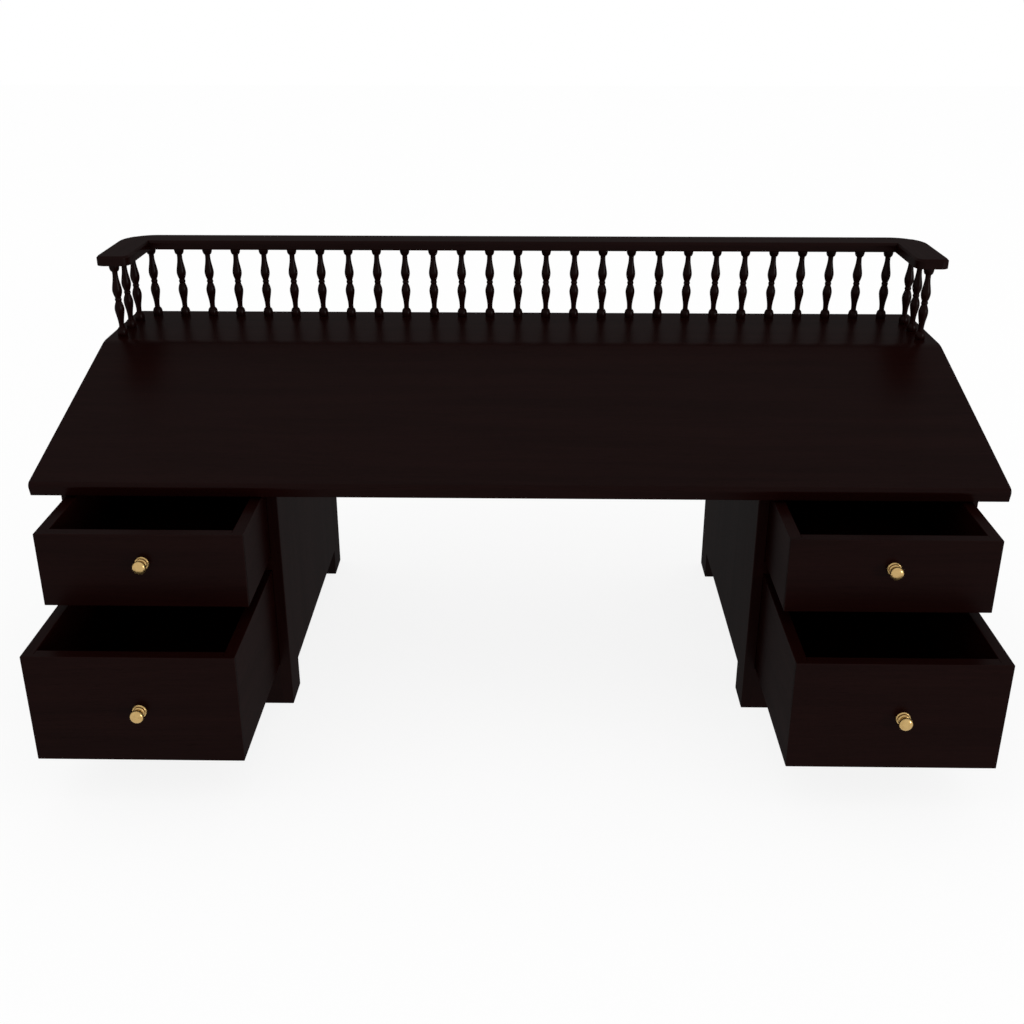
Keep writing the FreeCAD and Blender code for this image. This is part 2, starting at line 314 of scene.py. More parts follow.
@dataclass(frozen=True)
class Handling(SharedEffect):
    """Cloudy handling marks, and edges that are rubbed in places."""

    name: str = "handled"
    octaves: float = 4.0
    octave_weight: float = 0.6
    rub_span: Spot = (0.38, 0.66)
    rub_range: Spot = (0.15, 1.0)

    def build(self) -> NodeTree:
        """Builds the group's tree.

        Returns:
            The tree.
        """
        inputs = {"Vector": "Vector", "Edge": "Float", "Scale": "Float"}
        sheet = GroupSheet(self.name, GroupKind.SHADER, inputs, {"Cloud": "Float", "Rub": "Float"})
        values = {
            "Vector": sheet.given["Vector"],
            "Scale": sheet.given["Scale"],
            "Detail": self.octaves,
            "Roughness": self.octave_weight,
        }
        cloud = sheet.add("ShaderNodeTexNoise", values, noise_dimensions="3D").outputs[0]
        broken = sheet.ramp(cloud, self.rub_span, self.rub_range)
        rub = sheet.number("MULTIPLY", sheet.given["Edge"], broken)
        sheet.fill(sheet.made, {"Cloud": cloud, "Rub": rub})
        return sheet.tree


GRAIN = WoodGrain()
HANDLING = Handling()


@dataclass(frozen=True)
class EspressoStain:
    """Near-black stain with a red undertone under a thin satin lacquer."""

    deep: Triple = (0.0047, 0.0008, 0.0006)
    lifted: Triple = (0.0065, 0.0011, 0.0008)
    pore: Triple = (0.0034, 0.0005, 0.0004)
    rubbed: Triple = (0.0100, 0.0022, 0.0016)
    pore_share: float = 0.7
    rub_share: float = 0.6
    roughness: Spot = (0.43, 0.49)
    lacquer: Spot = (0.03792, 0.04108)
    lacquer_lost_in_pores: float = 0.25
    lacquer_index: float = 1.85
    lacquer_roughness: float = 0.30
    cloud_scale: float = 26.0
    relief: float = 0.00012
    relief_strength: float = 0.6

    def material(self, run: GrainRun) -> Material:
        """Makes the finish with its grain along one way.

        Args:
            run: The way the grain runs.

        Returns:
            The material.
        """
        sheet = MaterialSheet("espresso_stain_" + run.name.lower())
        place = sheet.place()
        turned = sheet.add("ShaderNodeMapping", {"Vector": place, "Rotation": run.value}).outputs[0]
        grain = GRAIN.place(sheet, {"Vector": turned, "Board": sheet.stored("board")})
        marks = {"Vector": place, "Edge": sheet.stored("arris"), "Scale": self.cloud_scale}
        handled = HANDLING.place(sheet, marks)
        stained = sheet.mix_colour(grain["Figure"], self.deep, self.lifted)
        in_pores = sheet.number("MULTIPLY", grain["Pores"], self.pore_share)
        stained = sheet.mix_colour(in_pores, stained, self.pore)
        on_edges = sheet.number("MULTIPLY", handled["Rub"], self.rub_share)
        lost = sheet.number("MULTIPLY", grain["Pores"], self.lacquer_lost_in_pores)
        sheen = sheet.ramp(grain["Figure"], UNIT_SPAN, self.lacquer)
        values = {
            "Base Color": sheet.mix_colour(on_edges, stained, self.rubbed),
            "Roughness": sheet.ramp(handled["Cloud"], CLOUD_SPAN, self.roughness),
            "Normal": sheet.bump(grain["Height"], self.relief_strength, self.relief),
            "Specular IOR Level": 0.0,
            "Coat Weight": sheet.number("MULTIPLY", sheen, sheet.number("SUBTRACT", 1.0, lost)),
            "Coat Roughness": self.lacquer_roughness,
            "Coat IOR": self.lacquer_index,
        }
        return sheet.end("ShaderNodeBsdfPrincipled", values)


@dataclass(frozen=True)
class TurnedBrass:
    """Gold brass with fine turning lines and a little tarnish."""

    bright: Triple = (0.530, 0.358, 0.144)
    tarnished: Triple = (0.380, 0.235, 0.082)
    tarnish_span: Spot = (0.42, 0.72)
    tarnish_range: Spot = (0.0, 0.45)
    roughness: Spot = (0.17, 0.26)
    bare_metal: Spot = (0.94, 0.86)
    cloud_scale: float = 240.0
    line_pitch: float = 0.00022
    line_depth: float = 0.000006
    line_strength: float = 0.5

    def material(self) -> Material:
        """Makes the finish.

        Returns:
            The material.
        """
        sheet = MaterialSheet("turned_brass")
        cloud = HANDLING.place(sheet, {"Vector": sheet.place(), "Scale": self.cloud_scale})["Cloud"]
        tarnish = sheet.ramp(cloud, self.tarnish_span, self.tarnish_range)
        turns = sheet.number("MULTIPLY", sheet.stored("along_profile"), FULL_TURN / self.line_pitch)
        values = {
            "Base Color": sheet.mix_colour(tarnish, self.bright, self.tarnished),
            "Roughness": sheet.ramp(cloud, CLOUD_SPAN, self.roughness),
            "Metallic": sheet.ramp(cloud, CLOUD_SPAN, self.bare_metal),
            "Normal": sheet.bump(sheet.number("SINE", turns), self.line_strength, self.line_depth),
        }
        return sheet.end("ShaderNodeBsdfPrincipled", values)


@dataclass(frozen=True)
class ScrewSteel:
    """Darkened steel of the wood screws."""

    dull: Triple = (0.024, 0.022, 0.020)
    bright: Triple = (0.074, 0.069, 0.063)
    roughness: Spot = (0.32, 0.5)
    cloud_scale: float = 500.0

    def material(self) -> Material:
        """Makes the finish.

        Returns:
            The material.
        """
        sheet = MaterialSheet("darkened_screw_steel")
        cloud = HANDLING.place(sheet, {"Vector": sheet.place(), "Scale": self.cloud_scale})["Cloud"]
        values = {
            "Base Color": sheet.mix_colour(cloud, self.dull, self.bright),
            "Roughness": sheet.ramp(cloud, CLOUD_SPAN, self.roughness),
            "Metallic": 1.0,
        }
        return sheet.end("ShaderNodeBsdfPrincipled", values)


def seen_as_white(sheet: NodeSheet, plain: Socket, shines: str, share: float = 1.0) -> Inputs:
    """Mixes white into a shader for rays from the camera, a mirror or glass, and not for light on things.

    Args:
        sheet: The material's or world's sheet.
        plain: The shader that all other rays meet.
        shines: Type name of the node that gives the white.
        share: How much of what those rays see is white.

    Returns:
        What goes into a Mix Shader node.
    """
    path = sheet.add("ShaderNodeLightPath").outputs
    seen = sheet.number("MAXIMUM", path["Is Camera Ray"], path["Is Glossy Ray"])
    seen = sheet.number("MAXIMUM", seen, path["Is Transmission Ray"])
    white = sheet.add(shines, {"Color": WHITE, "Strength": 1.0}).outputs[0]
    return {0: sheet.number("MULTIPLY", seen, share), 1: plain, 2: white}


@dataclass(frozen=True)
class PaleFloor:
    """White floor that looks white to the eye and to metal, and keeps a soft shadow."""

    colour: Triple = (0.97, 0.97, 0.97)
    own_white: float = 0.86

    def material(self) -> Material:
        """Makes the floor's material.

        Returns:
            The material.
        """
        sheet = MaterialSheet("pale_floor")
        matt = sheet.add("ShaderNodeBsdfDiffuse", {"Color": self.colour}).outputs[0]
        values = seen_as_white(sheet, matt, "ShaderNodeEmission", self.own_white)
        return sheet.end("ShaderNodeMixShader", values)


def put_in_scene(name: str, data: bpy.types.ID) -> Object:
    """Makes an object at the origin.

    Args:
        name: The object's name.
        data: Its mesh, lamp or camera.

    Returns:
        The object.
    """
    made = bpy.data.objects.new(name, data)
    bpy.context.scene.collection.objects.link(made)
    return made


def finished_mesh(worked: Object) -> None:
    """Turns an object's modifiers into plain mesh and takes them off.

    Args:
        worked: The object with its modifiers.
    """
    graph = bpy.context.evaluated_depsgraph_get()
    mesh = bpy.data.meshes.new_from_object(
        worked.evaluated_get(graph), preserve_all_data_layers=True, depsgraph=graph
    )
    worked.modifiers.clear()
    worked.data = mesh


def even_normals(worked: Object, sharp_from: float = 38.0, weight: int = 90) -> None:
    """Shades a mesh smoothly, keeps its sharp corners and lets its wide faces stay flat.

    Args:
        worked: The object to shade.
        sharp_from: Edges that turn by more than this many degrees stay sharp.
        weight: How much more a wide face counts than a narrow one.
    """
    worked.data.shade_smooth()
    worked.data.set_sharp_from_angle(angle=math.radians(sharp_from))
    weighted = worked.modifiers.new("wide_faces_flat", "WEIGHTED_NORMAL")
    weighted.keep_sharp = True
    weighted.weight = weight
    finished_mesh(worked)


def give_values(mesh: Mesh, name: str, values: Sequence[float]) -> None:
    """Stores one number for each point of a mesh."""
    store = mesh.attributes.new(name, "FLOAT", "POINT")
    store.data.foreach_set("value", values)


def middle_of(node: str) -> Vector:
    """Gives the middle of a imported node's box."""
    low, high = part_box(node)
    return (low + high) / 2


def settle(piece: Object, body: str, node: str) -> None:
    """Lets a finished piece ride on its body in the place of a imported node, and reports it.

    Args:
        piece: The piece.
        body: The body that carries it.
        node: The node that it stands for.
    """
    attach(piece, body)
    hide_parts(node)
    LOG.info("%s on %s: %d faces", piece.name, body, len(piece.data.polygons))


@dataclass
class BoardShop:
    """Makes eased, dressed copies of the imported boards."""

    stain: EspressoStain
    touch: float = 0.0003
    probes: tuple[float, ...] = (0.1, 0.3, 0.5, 0.7, 0.9)
    flat_within: float = 0.6
    arris_from: float = 28.0
    end_arris: float = 0.0018
    end_steps: int = 3
    number_stride: float = 7.31
    number_range: float = 53.0

    def __post_init__(self) -> None:
        """Makes the finishes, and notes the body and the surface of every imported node."""
        self.finishes = {run: self.stain.material(run) for run in GrainRun}
        bodies = FRAME["record"]["behaviour"]["bodies"]
        self._bodies = {name: body for body, names in bodies.items() for name in names}
        self._surfaces: dict[str, BVHTree] = {}
        for name, packed in FRAME["nodes"].items():
            points = [v.co.copy() for v in packed.data.vertices]
            faces = [list(p.vertices) for p in packed.data.polygons]
            self._surfaces[name] = BVHTree.FromPolygons(points, faces)

    def _joined(self, name: str, edge: bmesh.types.BMEdge) -> bool:
        """Tells whether an edge of a board lies against another board of the same body.

        Args:
            name: The board's node.
            edge: The edge.

        Returns:
            True where any place along the edge does.
        """
        first, last = (v.co for v in edge.verts)
        places = [first.lerp(last, t) for t in self.probes]
        others = [n for n, body in self._bodies.items() if n != name and body == self._bodies[name]]
        nearest = (self._surfaces[n].find_nearest(at, self.touch)[0] for n in others for at in places)
        return any(found is not None for found in nearest)

    def ease(self, name: str, run: GrainRun, arris: float = 0.0009, steps: int = 2) -> None:
        """Copies a node, rounds its free arrises and dresses it.

        Args:
            name: The node that the piece stands for.
            run: The way its grain runs.
            arris: Radius of the rounding.
            steps: Faces across the rounding.
        """
        worked = bmesh.new()
        worked.from_mesh(FRAME["nodes"][name].data)
        bmesh.ops.remove_doubles(worked, verts=worked.verts, dist=MERGE_GAP)
        limit = math.radians(self.flat_within)
        bmesh.ops.dissolve_limit(worked, angle_limit=limit, verts=worked.verts, edges=worked.edges)
        self._dress(worked, name, run, arris, steps)

    def sweep(self, name: str, outline: Profile, run: GrainRun) -> None:
        """Makes a board of the desk's full width from its outline, with eased ends.

        Args:
            name: The node that the piece stands for.
            outline: (Y, Z) corners of its end.
            run: The way its grain runs.
        """
        low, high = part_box(name)
        worked = bmesh.new()
        ends = [[worked.verts.new((x, y, z)) for y, z in outline] for x in (low.x, high.x)]
        for i in range(len(outline)):
            worked.faces.new([ends[0][i - 1], ends[0][i], ends[1][i], ends[1][i - 1]])
        worked.faces.new(ends[0])
        worked.faces.new(ends[1])
        bmesh.ops.recalc_face_normals(worked, faces=worked.faces)
        self._dress(worked, name, run, self.end_arris, self.end_steps)

    def ease_all(self, start: str, runs: dict[GrainRun, tuple[str, ...]]) -> None:
        """Eases several boards of one sub-assembly.

        Args:
            start: What all their names start with.
            runs: The rest of their names, by the way their grain runs.
        """
        for run, names in runs.items():
            for name in names:
                self.ease(start + name, run)

    def _dress(self, worked: bmesh.types.BMesh, name: str, run: GrainRun, arris: float, steps: int) -> None:
        """Rounds the free arrises of a shape, gives it its finish and puts it in its node's place.

        Args:
            worked: The shape.
            name: The node that it stands for.
            run: The way its grain runs.
            arris: Radius of the rounding.
            steps: Faces across the rounding.
        """
        turned = [e for e in worked.edges if e.is_manifold and e.is_convex]
        sharp = [e for e in turned if e.calc_face_angle(0.0) > math.radians(self.arris_from)]
        rounded = bmesh.ops.bevel(
            worked,
            geom=[e for e in sharp if not self._joined(name, e)],
            offset=arris,
            offset_type="OFFSET",
            segments=steps,
            profile=0.5,
            affect="EDGES",
            clamp_overlap=True,
        )
        bmesh.ops.remove_doubles(worked, verts=worked.verts, dist=MERGE_GAP)
        bmesh.ops.dissolve_degenerate(worked, edges=worked.edges, dist=MERGE_GAP)
        eased = {face for face in rounded["faces"] if face.is_valid}
        worked.verts.index_update()
        edge_marks = [1.0 if v.link_faces and eased.issuperset(v.link_faces) else 0.0 for v in worked.verts]
        mesh = bpy.data.meshes.new(name + "_eased")
        worked.to_mesh(mesh)
        worked.free()
        give_values(mesh, "arris", edge_marks)
        number = sorted(FRAME["nodes"]).index(name) * self.number_stride % self.number_range
        give_values(mesh, "board", [number] * len(mesh.vertices))
        mesh.materials.append(self.finishes[run])
        piece = put_in_scene(name + "_eased", mesh)
        even_normals(piece)
        settle(piece, self._bodies[name], name)


def part_way(first: float, last: float, share: float) -> float:
    """Goes a share of the way from one number to another."""
    return first + (last - first) * share


def between(first: float, last: float, steps: int) -> list[float]:
    """Evenly spaced numbers from first to last."""
    return [part_way(first, last, i / steps) for i in range(steps + 1)]


def arc(centre: Spot, radius: float, first: float, last: float, steps: int) -> Profile:
    """Points on a circle in a profile, between angles in degrees from the way straight out of the axis."""
    angles = [math.radians(turn) for turn in between(first, last, steps)]
    return [(centre[0] + radius * math.cos(a), centre[1] + radius * math.sin(a)) for a in angles]


def round_corner(before: Spot, corner: Spot, after: Spot, radius: float, steps: int) -> Profile:
    """Rounds one corner of an outline.

    Args:
        before: The corner before it.
        corner: The corner itself.
        after: The corner after it.
        radius: Radius of the rounding.
        steps: Number of parts.

    Returns:
        The points of the rounding, from the side of the corner before.
    """
    at = Vector(corner)
    back = (Vector(before) - at).normalized()
    on = (Vector(after) - at).normalized()
    half = back.angle(on) / 2
    middle = at + (back + on).normalized() * (radius / math.sin(half))
    reach = radius / math.tan(half)
    start = at + back * reach - middle
    end = at + on * reach - middle
    sweep = start.angle(end)
    points = []
    for turn in between(0.0, sweep, steps):
        spot = middle + (start * math.sin(sweep - turn) + end * math.sin(turn)) / math.sin(sweep)
        points.append((spot.x, spot.y))
    return points


def lathe(name: str, profile: Profile, sides: int, frame: Matrix, sharp_from: float = 50.0) -> Mesh:
    """Turns a profile about its axis into a closed mesh.

    Args:
        name: The mesh's name.
        profile: (radius, distance along the axis) pairs from one end to the other.
        sides: Faces round the axis.
        frame: Where the axis lies: local Z runs along it.
        sharp_from: Edges that turn by more than this many degrees stay sharp.

    Returns:
        The mesh, smooth, with the way along the profile stored on its points.
    """
    points: list[Vector] = []
    ways: list[float] = []
    way = 0.0
    for i, (radius, along) in enumerate(profile):
        way += math.dist(profile[max(i - 1, 0)], profile[i])
        for k in range(sides):
            angle = FULL_TURN * k / sides
            points.append(frame @ Vector((radius * math.cos(angle), radius * math.sin(angle), along)))
            ways.append(way)
    faces = []
    for start in range(0, len(points) - sides, sides):
        for k in range(sides):
            after = (k + 1) % sides
            faces.append([start + k, start + after, start + sides + after, start + sides + k])
    faces.append(list(reversed(range(sides))))
    faces.append(list(range(len(points) - sides, len(points))))
    mesh = bpy.data.meshes.new(name)
    mesh.from_pydata(points, [], faces)
    give_values(mesh, "along_profile", ways)
    mesh.shade_smooth()
    mesh.set_sharp_from_angle(angle=math.radians(sharp_from))
    mesh.update()
    return mesh


class InstanceSheet(GroupSheet):
    """The sheet of a geometry tree that repeats a turned or cut piece and gives it its finish."""

    def __init__(self, name: str, inputs: dict[str, str]) -> None:
        """Makes the tree with its own inputs between the geometry and the finish."""
        all_inputs = {"Geometry": "Geometry", **inputs, "Finish": "Material"}
        super().__init__(name, GroupKind.GEOMETRY, all_inputs, {"Geometry": "Geometry"})

    def random_turn(self, seed: int) -> Socket:
        """Draws a turn about Z for each copy."""
        values = {"Min": (0.0, 0.0, 0.0), "Max": (0.0, 0.0, FULL_TURN), "Seed": seed}
        return self.add("FunctionNodeRandomValue", values, data_type="FLOAT_VECTOR").outputs[0]

    def stand(self, points: Socket, source: Socket, turn: Socket) -> Socket:
        """Stands a copy of an object on every point.

        Args:
            points: Where the copies stand.
            source: The object to repeat.
            turn: How each copy is turned.

        Returns:
            The copies, as instances.
        """
        shape = self.add("GeometryNodeObjectInfo", {"Object": source}, transform_space="ORIGINAL")
        values = {"Points": points, "Instance": shape.outputs["Geometry"], "Rotation": turn}
        return self.add("GeometryNodeInstanceOnPoints", values).outputs[0]

    def end(self, instances: Socket) -> NodeTree:
        """Realizes the copies and gives them their finish.

        Args:
            instances: The copies.

        Returns:
            The tree.
        """
        real = self.add("GeometryNodeRealizeInstances", {0: instances}).outputs[0]
        dressed = self.add("GeometryNodeSetMaterial", {"Geometry": real, "Material": self.given["Finish"]})
        self.fill(self.made, {0: dressed.outputs[0]})
        return self.tree


def grow(piece: Object, tree: NodeTree, values: dict[str, object]) -> None:
    """Runs a geometry tree on an object and keeps the result as plain mesh.

    Args:
        piece: The object to fill.
        tree: The tree to run.
        values: The tree's inputs by name.
    """
    grown = piece.modifiers.new(tree.name, "NODES")
    grown.node_group = tree
    for socket in tree.interface.items_tree:
        if socket.in_out == "INPUT" and socket.name in values:
            grown[socket.identifier] = values[socket.name]
    finished_mesh(piece)


@dataclass
class Gallery:
    """The rail on its turned spindles, round three sides of the back shelf."""

    boards: BoardShop
    back_count: int = 27
    side_count: int = 3
    back_pitch: float = 0.04285
    side_pitch: float = 0.0434
    height: float = 0.1058
    cap_radius: float = 0.0073
    cap_draws_in: float = 0.0010
    neck_radius: float = 0.00383
    shoulder_step: float = 0.00017
    belly_radius: float = 0.00692
    bead_radius: float = 0.0049
    groove_radius: float = 0.0041
    groove_step: float = 0.0002
    groove_width: float = 0.0005
    groove_from_middle: float = 0.0025
    belly_from_middle: float = 0.0139
    neck_from_middle: float = 0.0380
    shoulder_from_middle: float = 0.0410
    widest_from_middle: float = 0.0490
    taper_power: float = 0.83
    bead_steps: int = 5
    vase_steps: int = 9
    taper_steps: int = 13
    shoulder_steps: int = 8
    cap_steps: int = 6
    sides: int = 24
    turn_seed: int = 7
    number_seed: int = 11
    number_range: float = 50.0
    rail_arris: float = 0.0014
    rail_steps: int = 3

    def half_profile(self) -> Profile:
        """Draws the upper half of a spindle: bead, groove, vase, long taper and rounded cap.

        Returns:
            (radius, height above the spindle's middle) pairs.
        """
        points = []
        for t in between(0.0, 1.0, self.bead_steps):
            radius = part_way(self.groove_radius, self.bead_radius, math.cos(QUARTER_TURN * t))
            points.append((radius, self.groove_from_middle * t))
        lip = self.groove_radius + self.groove_step
        start = self.groove_from_middle + self.groove_width
        for t in between(0.0, 1.0, self.vase_steps):
            radius = part_way(lip, self.belly_radius, math.sin(QUARTER_TURN * t))
            points.append((radius, part_way(start, self.belly_from_middle, t)))
        for t in between(0.0, 1.0, self.taper_steps)[1:]:
            fall = 0.5 + 0.5 * math.cos(math.pi * t**self.taper_power)
            radius = part_way(self.neck_radius, self.belly_radius, fall)
            points.append((radius, part_way(self.belly_from_middle, self.neck_from_middle, t)))
        neck = self.neck_radius + self.shoulder_step
        for turn in between(0.0, QUARTER_TURN, self.shoulder_steps):
            height = part_way(self.widest_from_middle, self.shoulder_from_middle, math.cos(turn))
            points.append((part_way(neck, self.cap_radius, math.sin(turn)), height))
        for turn in between(0.0, QUARTER_TURN, self.cap_steps)[1:]:
            height = part_way(self.widest_from_middle, self.height / 2, math.sin(turn))
            points.append((self.cap_radius - self.cap_draws_in * (1 - math.cos(turn)), height))
        return points

    def spindle(self) -> Object:
        """Turns one spindle, standing on the origin.

        Returns:
            The spindle, to be repeated.
        """
        half = self.half_profile()
        middle = self.height / 2
        lower = [(radius, middle - along) for radius, along in reversed(half[1:])]
        upper = [(radius, middle + along) for radius, along in half]
        mesh = lathe("gallery_spindle", lower + upper, self.sides, Matrix.Identity(4))
        return put_in_scene("gallery_spindle_source", mesh)

    def row_tree(self) -> NodeTree:
        """Makes a tree that stands spindles in a straight row, each turned and numbered on its own.

        Returns:
            The tree.
        """
        inputs = {"Spindle": "Object", "Count": "Int", "First": "Vector", "Step": "Vector"}
        sheet = InstanceSheet("spindle_row", inputs)
        given = sheet.given
        line = {"Count": given["Count"], "Start Location": given["First"], "Offset": given["Step"]}
        row = sheet.add("GeometryNodeMeshLine", line, mode="OFFSET").outputs[0]
        spindles = sheet.stand(row, given["Spindle"], sheet.random_turn(self.turn_seed))
        draw = {2: 0.0, 3: self.number_range, "Seed": self.number_seed}
        number = sheet.add("FunctionNodeRandomValue", draw, data_type="FLOAT").outputs[1]
        mark = {"Geometry": spindles, "Name": "board", "Value": number}
        numbered = sheet.add("GeometryNodeStoreNamedAttribute", mark, data_type="FLOAT", domain="INSTANCE")
        return sheet.end(numbered.outputs[0])

    def build(self) -> None:
        """Eases the rails and fills the three rows of spindles."""
        back = (GrainRun.ALONG_WIDTH, self.back_count, Vector((self.back_pitch, 0.0, 0.0)))
        side = (GrainRun.ALONG_DEPTH, self.side_count, Vector((0.0, self.side_pitch, 0.0)))
        source = self.spindle()
        tree = self.row_tree()
        finish = self.boards.finishes[GrainRun.UPRIGHT]
        for where, (run, count, step) in {"back": back, "left": side, "right": side}.items():
            self.boards.ease(f"gallery_rail_{where}", run, self.rail_arris, self.rail_steps)
            node = f"gallery_spindles_{where}"
            first = middle_of(node) - step * ((count - 1) / 2)
            first.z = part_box(node)[0].z
            values = {"Spindle": source, "Count": count, "First": first, "Step": step, "Finish": finish}
            piece = put_in_scene(node + "_turned", bpy.data.meshes.new(node + "_turned"))
            grow(piece, tree, values)
            settle(piece, "desk", node)
        bpy.data.objects.remove(source)


@dataclass
class DeskTop:
    """The sloping top, the back shelf and the apron under it."""

    boards: BoardShop
    depth: float = 0.5010
    front_height: float = 0.3327
    shelf_height: float = 0.4181
    shelf_depth: float = 0.1684
    thickness: float = 0.0180
    nose_upper: float = 0.0060
    nose_upper_steps: int = 12
    nose_lower: float = 0.0020
    nose_lower_steps: int = 6
    crease_round: float = 0.0750
    crease_half_steps: int = 12

    def outlines(self) -> tuple[Profile, Profile]:
        """Draws the ends of the sloping board and the shelf, which meet in a mitre under the eased crease.

        Returns:
            (Y, Z) outlines of the writing top and of the shelf.
        """
        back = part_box("back_shelf")[1].y
        front = back - self.depth
        rise = self.shelf_height - self.front_height
        slope = math.atan2(rise, self.depth - self.shelf_depth)
        under = self.shelf_height - self.thickness
        lean, drop = self.thickness * math.sin(slope), self.thickness * math.cos(slope)
        nose_low = (front + lean, self.front_height - drop)
        nose_high = (front, self.front_height)
        crease = (back - self.shelf_depth, self.shelf_height)
        crease_low = (crease[0] + self.thickness * math.tan(slope / 2), under)
        back_high = (back, self.shelf_height)
        half = self.crease_half_steps
        easing = round_corner(nose_high, crease, back_high, self.crease_round, 2 * half)
        top = round_corner(crease_low, nose_low, nose_high, self.nose_lower, self.nose_lower_steps)
        top += round_corner(nose_low, nose_high, crease, self.nose_upper, self.nose_upper_steps)
        top += easing[: half + 1] + [crease_low]
        shelf = easing[half:] + [back_high, (back, under), crease_low]
        return top, shelf

    def build(self) -> None:
        """Sweeps the two boards and eases the apron."""
        top, shelf = self.outlines()
        self.boards.sweep("writing_top", top, GrainRun.ALONG_WIDTH)
        self.boards.sweep("back_shelf", shelf, GrainRun.ALONG_WIDTH)
        self.boards.ease("rear_apron", GrainRun.ALONG_WIDTH)


@dataclass
class ScrewSet:
    """Slotted countersunk screws on one body."""

    body: str
    steel: Material
    head_radius: float = 0.0036
    slot_width: float = 0.0009
    slot_depth: float = 0.0006
    crown: float = 0.0004
    sunk: float = 0.0004
    flare: float = 1.04
    sides: int = 20
    turn_seed: int = 3
    seats: list[Seat] = field(default_factory=list)

    def screw(self) -> Object:
        """Makes one slotted head as a closed shell, its face along Z and its rim a little below the origin.

        Returns:
            The screw head, to be repeated.
        """
        worked = bmesh.new()
        slot_edge = math.asin(self.slot_width / 2 / self.head_radius)
        slot_floor = self.crown - self.slot_depth
        halves = []
        for side in (1, -1):
            rim = []
            for turn in between(slot_edge, math.pi - slot_edge, self.sides // 2):
                rim.append((self.head_radius * math.cos(turn), side * self.head_radius * math.sin(turn)))
            top = [worked.verts.new((x, y, self.crown)) for x, y in rim]
            low = [worked.verts.new((x * self.flare, y * self.flare, -self.sunk)) for x, y in rim]
            floor = [worked.verts.new((x, y, slot_floor)) for x, y in (rim[0], rim[-1])]
            worked.faces.new(top)
            worked.faces.new([top[0], top[-1], floor[-1], floor[0]])
            for i in range(1, len(rim)):
                worked.faces.new([low[i - 1], low[i], top[i], top[i - 1]])
            for end in (0, -1):
                worked.faces.new([low[end], top[end], floor[end]])
            halves.append((low, floor))
        (low, floor), (far_low, far_floor) = halves
        worked.faces.new([*floor, *reversed(far_floor)])
        worked.faces.new([*low, *reversed(far_low)])
        for end in (0, -1):
            worked.faces.new([low[end], floor[end], far_floor[end], far_low[end]])
        bmesh.ops.recalc_face_normals(worked, faces=worked.faces)
        mesh = bpy.data.meshes.new("wood_screw")
        worked.to_mesh(mesh)
        worked.free()
        return put_in_scene("wood_screw_source", mesh)

    def tree(self) -> NodeTree:
        """Gives the tree that sets a screw at each point, facing as stored there, its slot at any angle.

        Returns:
            The tree, which is made once.
        """
        name = "set_screws"
        if name in bpy.data.node_groups:
            return bpy.data.node_groups[name]
        sheet = InstanceSheet(name, {"Screw": "Object"})
        facing = sheet.add("GeometryNodeInputNamedAttribute", {"Name": "facing"}, data_type="FLOAT_VECTOR")
        aim = {"Rotation": sheet.random_turn(self.turn_seed), "Vector": facing.outputs[0]}
        turn = sheet.add("FunctionNodeAlignRotationToVector", aim, axis="Z").outputs[0]
        return sheet.end(sheet.stand(sheet.given["Geometry"], sheet.given["Screw"], turn))

    def build(self) -> None:
        """Sets every screw of the body in one mesh."""
        source = self.screw()
        mesh = bpy.data.meshes.new(self.body + "_screws")
        mesh.from_pydata([at for at, _ in self.seats], [], [])
        facing = mesh.attributes.new("facing", "FLOAT_VECTOR", "POINT")
        facing.data.foreach_set("vector", [part for _, way in self.seats for part in way])
        piece = put_in_scene(self.body + "_screws", mesh)
        grow(piece, self.tree(), {"Screw": source, "Finish": self.steel})
        bpy.data.objects.remove(source)
        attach(piece, self.body)
        LOG.info("%s on %s: %d screws", piece.name, self.body, len(self.seats))


@dataclass
class Pedestal:
    """One footed pedestal with its drawer boards, back and cleats."""

    boards: BoardShop
    hand: Hand
    screws_across: int = 4
    screws_along_cleat: int = 3
    cleat_width: float = 0.018
    cleat_height: float = 0.016

    def build(self) -> None:
        """Eases every board of the pedestal."""
        across = ("bottom_board", "drawer_divider", "drawer_stops", "base_rail", "top_rail")
        runs = {
            GrainRun.UPRIGHT: ("inner_side", "outer_side", "back_panel", "foot_blocks"),
            GrainRun.ALONG_WIDTH: across,
            GrainRun.ALONG_DEPTH: ("top_cleats",),
        }
        self.boards.ease_all(self.hand.value + "_", runs)

    def back_screws(self) -> Iterator[Seat]:
        """Places the screws in the back panel, over the edges of the boards behind it.

        Returns:
            (place, facing) pairs.
        """
        low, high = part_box(f"{self.hand.value}_back_panel")
        for board in ("bottom_board", "drawer_divider"):
            height = middle_of(f"{self.hand.value}_{board}").z
            for i in range(self.screws_across):
                x = part_way(low.x, high.x, (i + 0.5) / self.screws_across)
                yield Vector((x, high.y, height)), TO_THE_BACK

    def cleat_screws(self) -> Iterator[Seat]:
        """Places the screws that go up through the two cleats into the writing top.

        Returns:
            (place, facing) pairs.
        """
        low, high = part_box(f"{self.hand.value}_top_cleats")
        rise = high.z - self.cleat_height - low.z
        facing = Vector((0.0, rise, low.y - high.y)).normalized()
        for x in (low.x + self.cleat_width / 2, high.x - self.cleat_width / 2):
            for i in range(self.screws_along_cleat):
                t = (i + 0.5) / self.screws_along_cleat
                yield Vector((x, part_way(low.y, high.y, t), low.z + rise * t)), facing


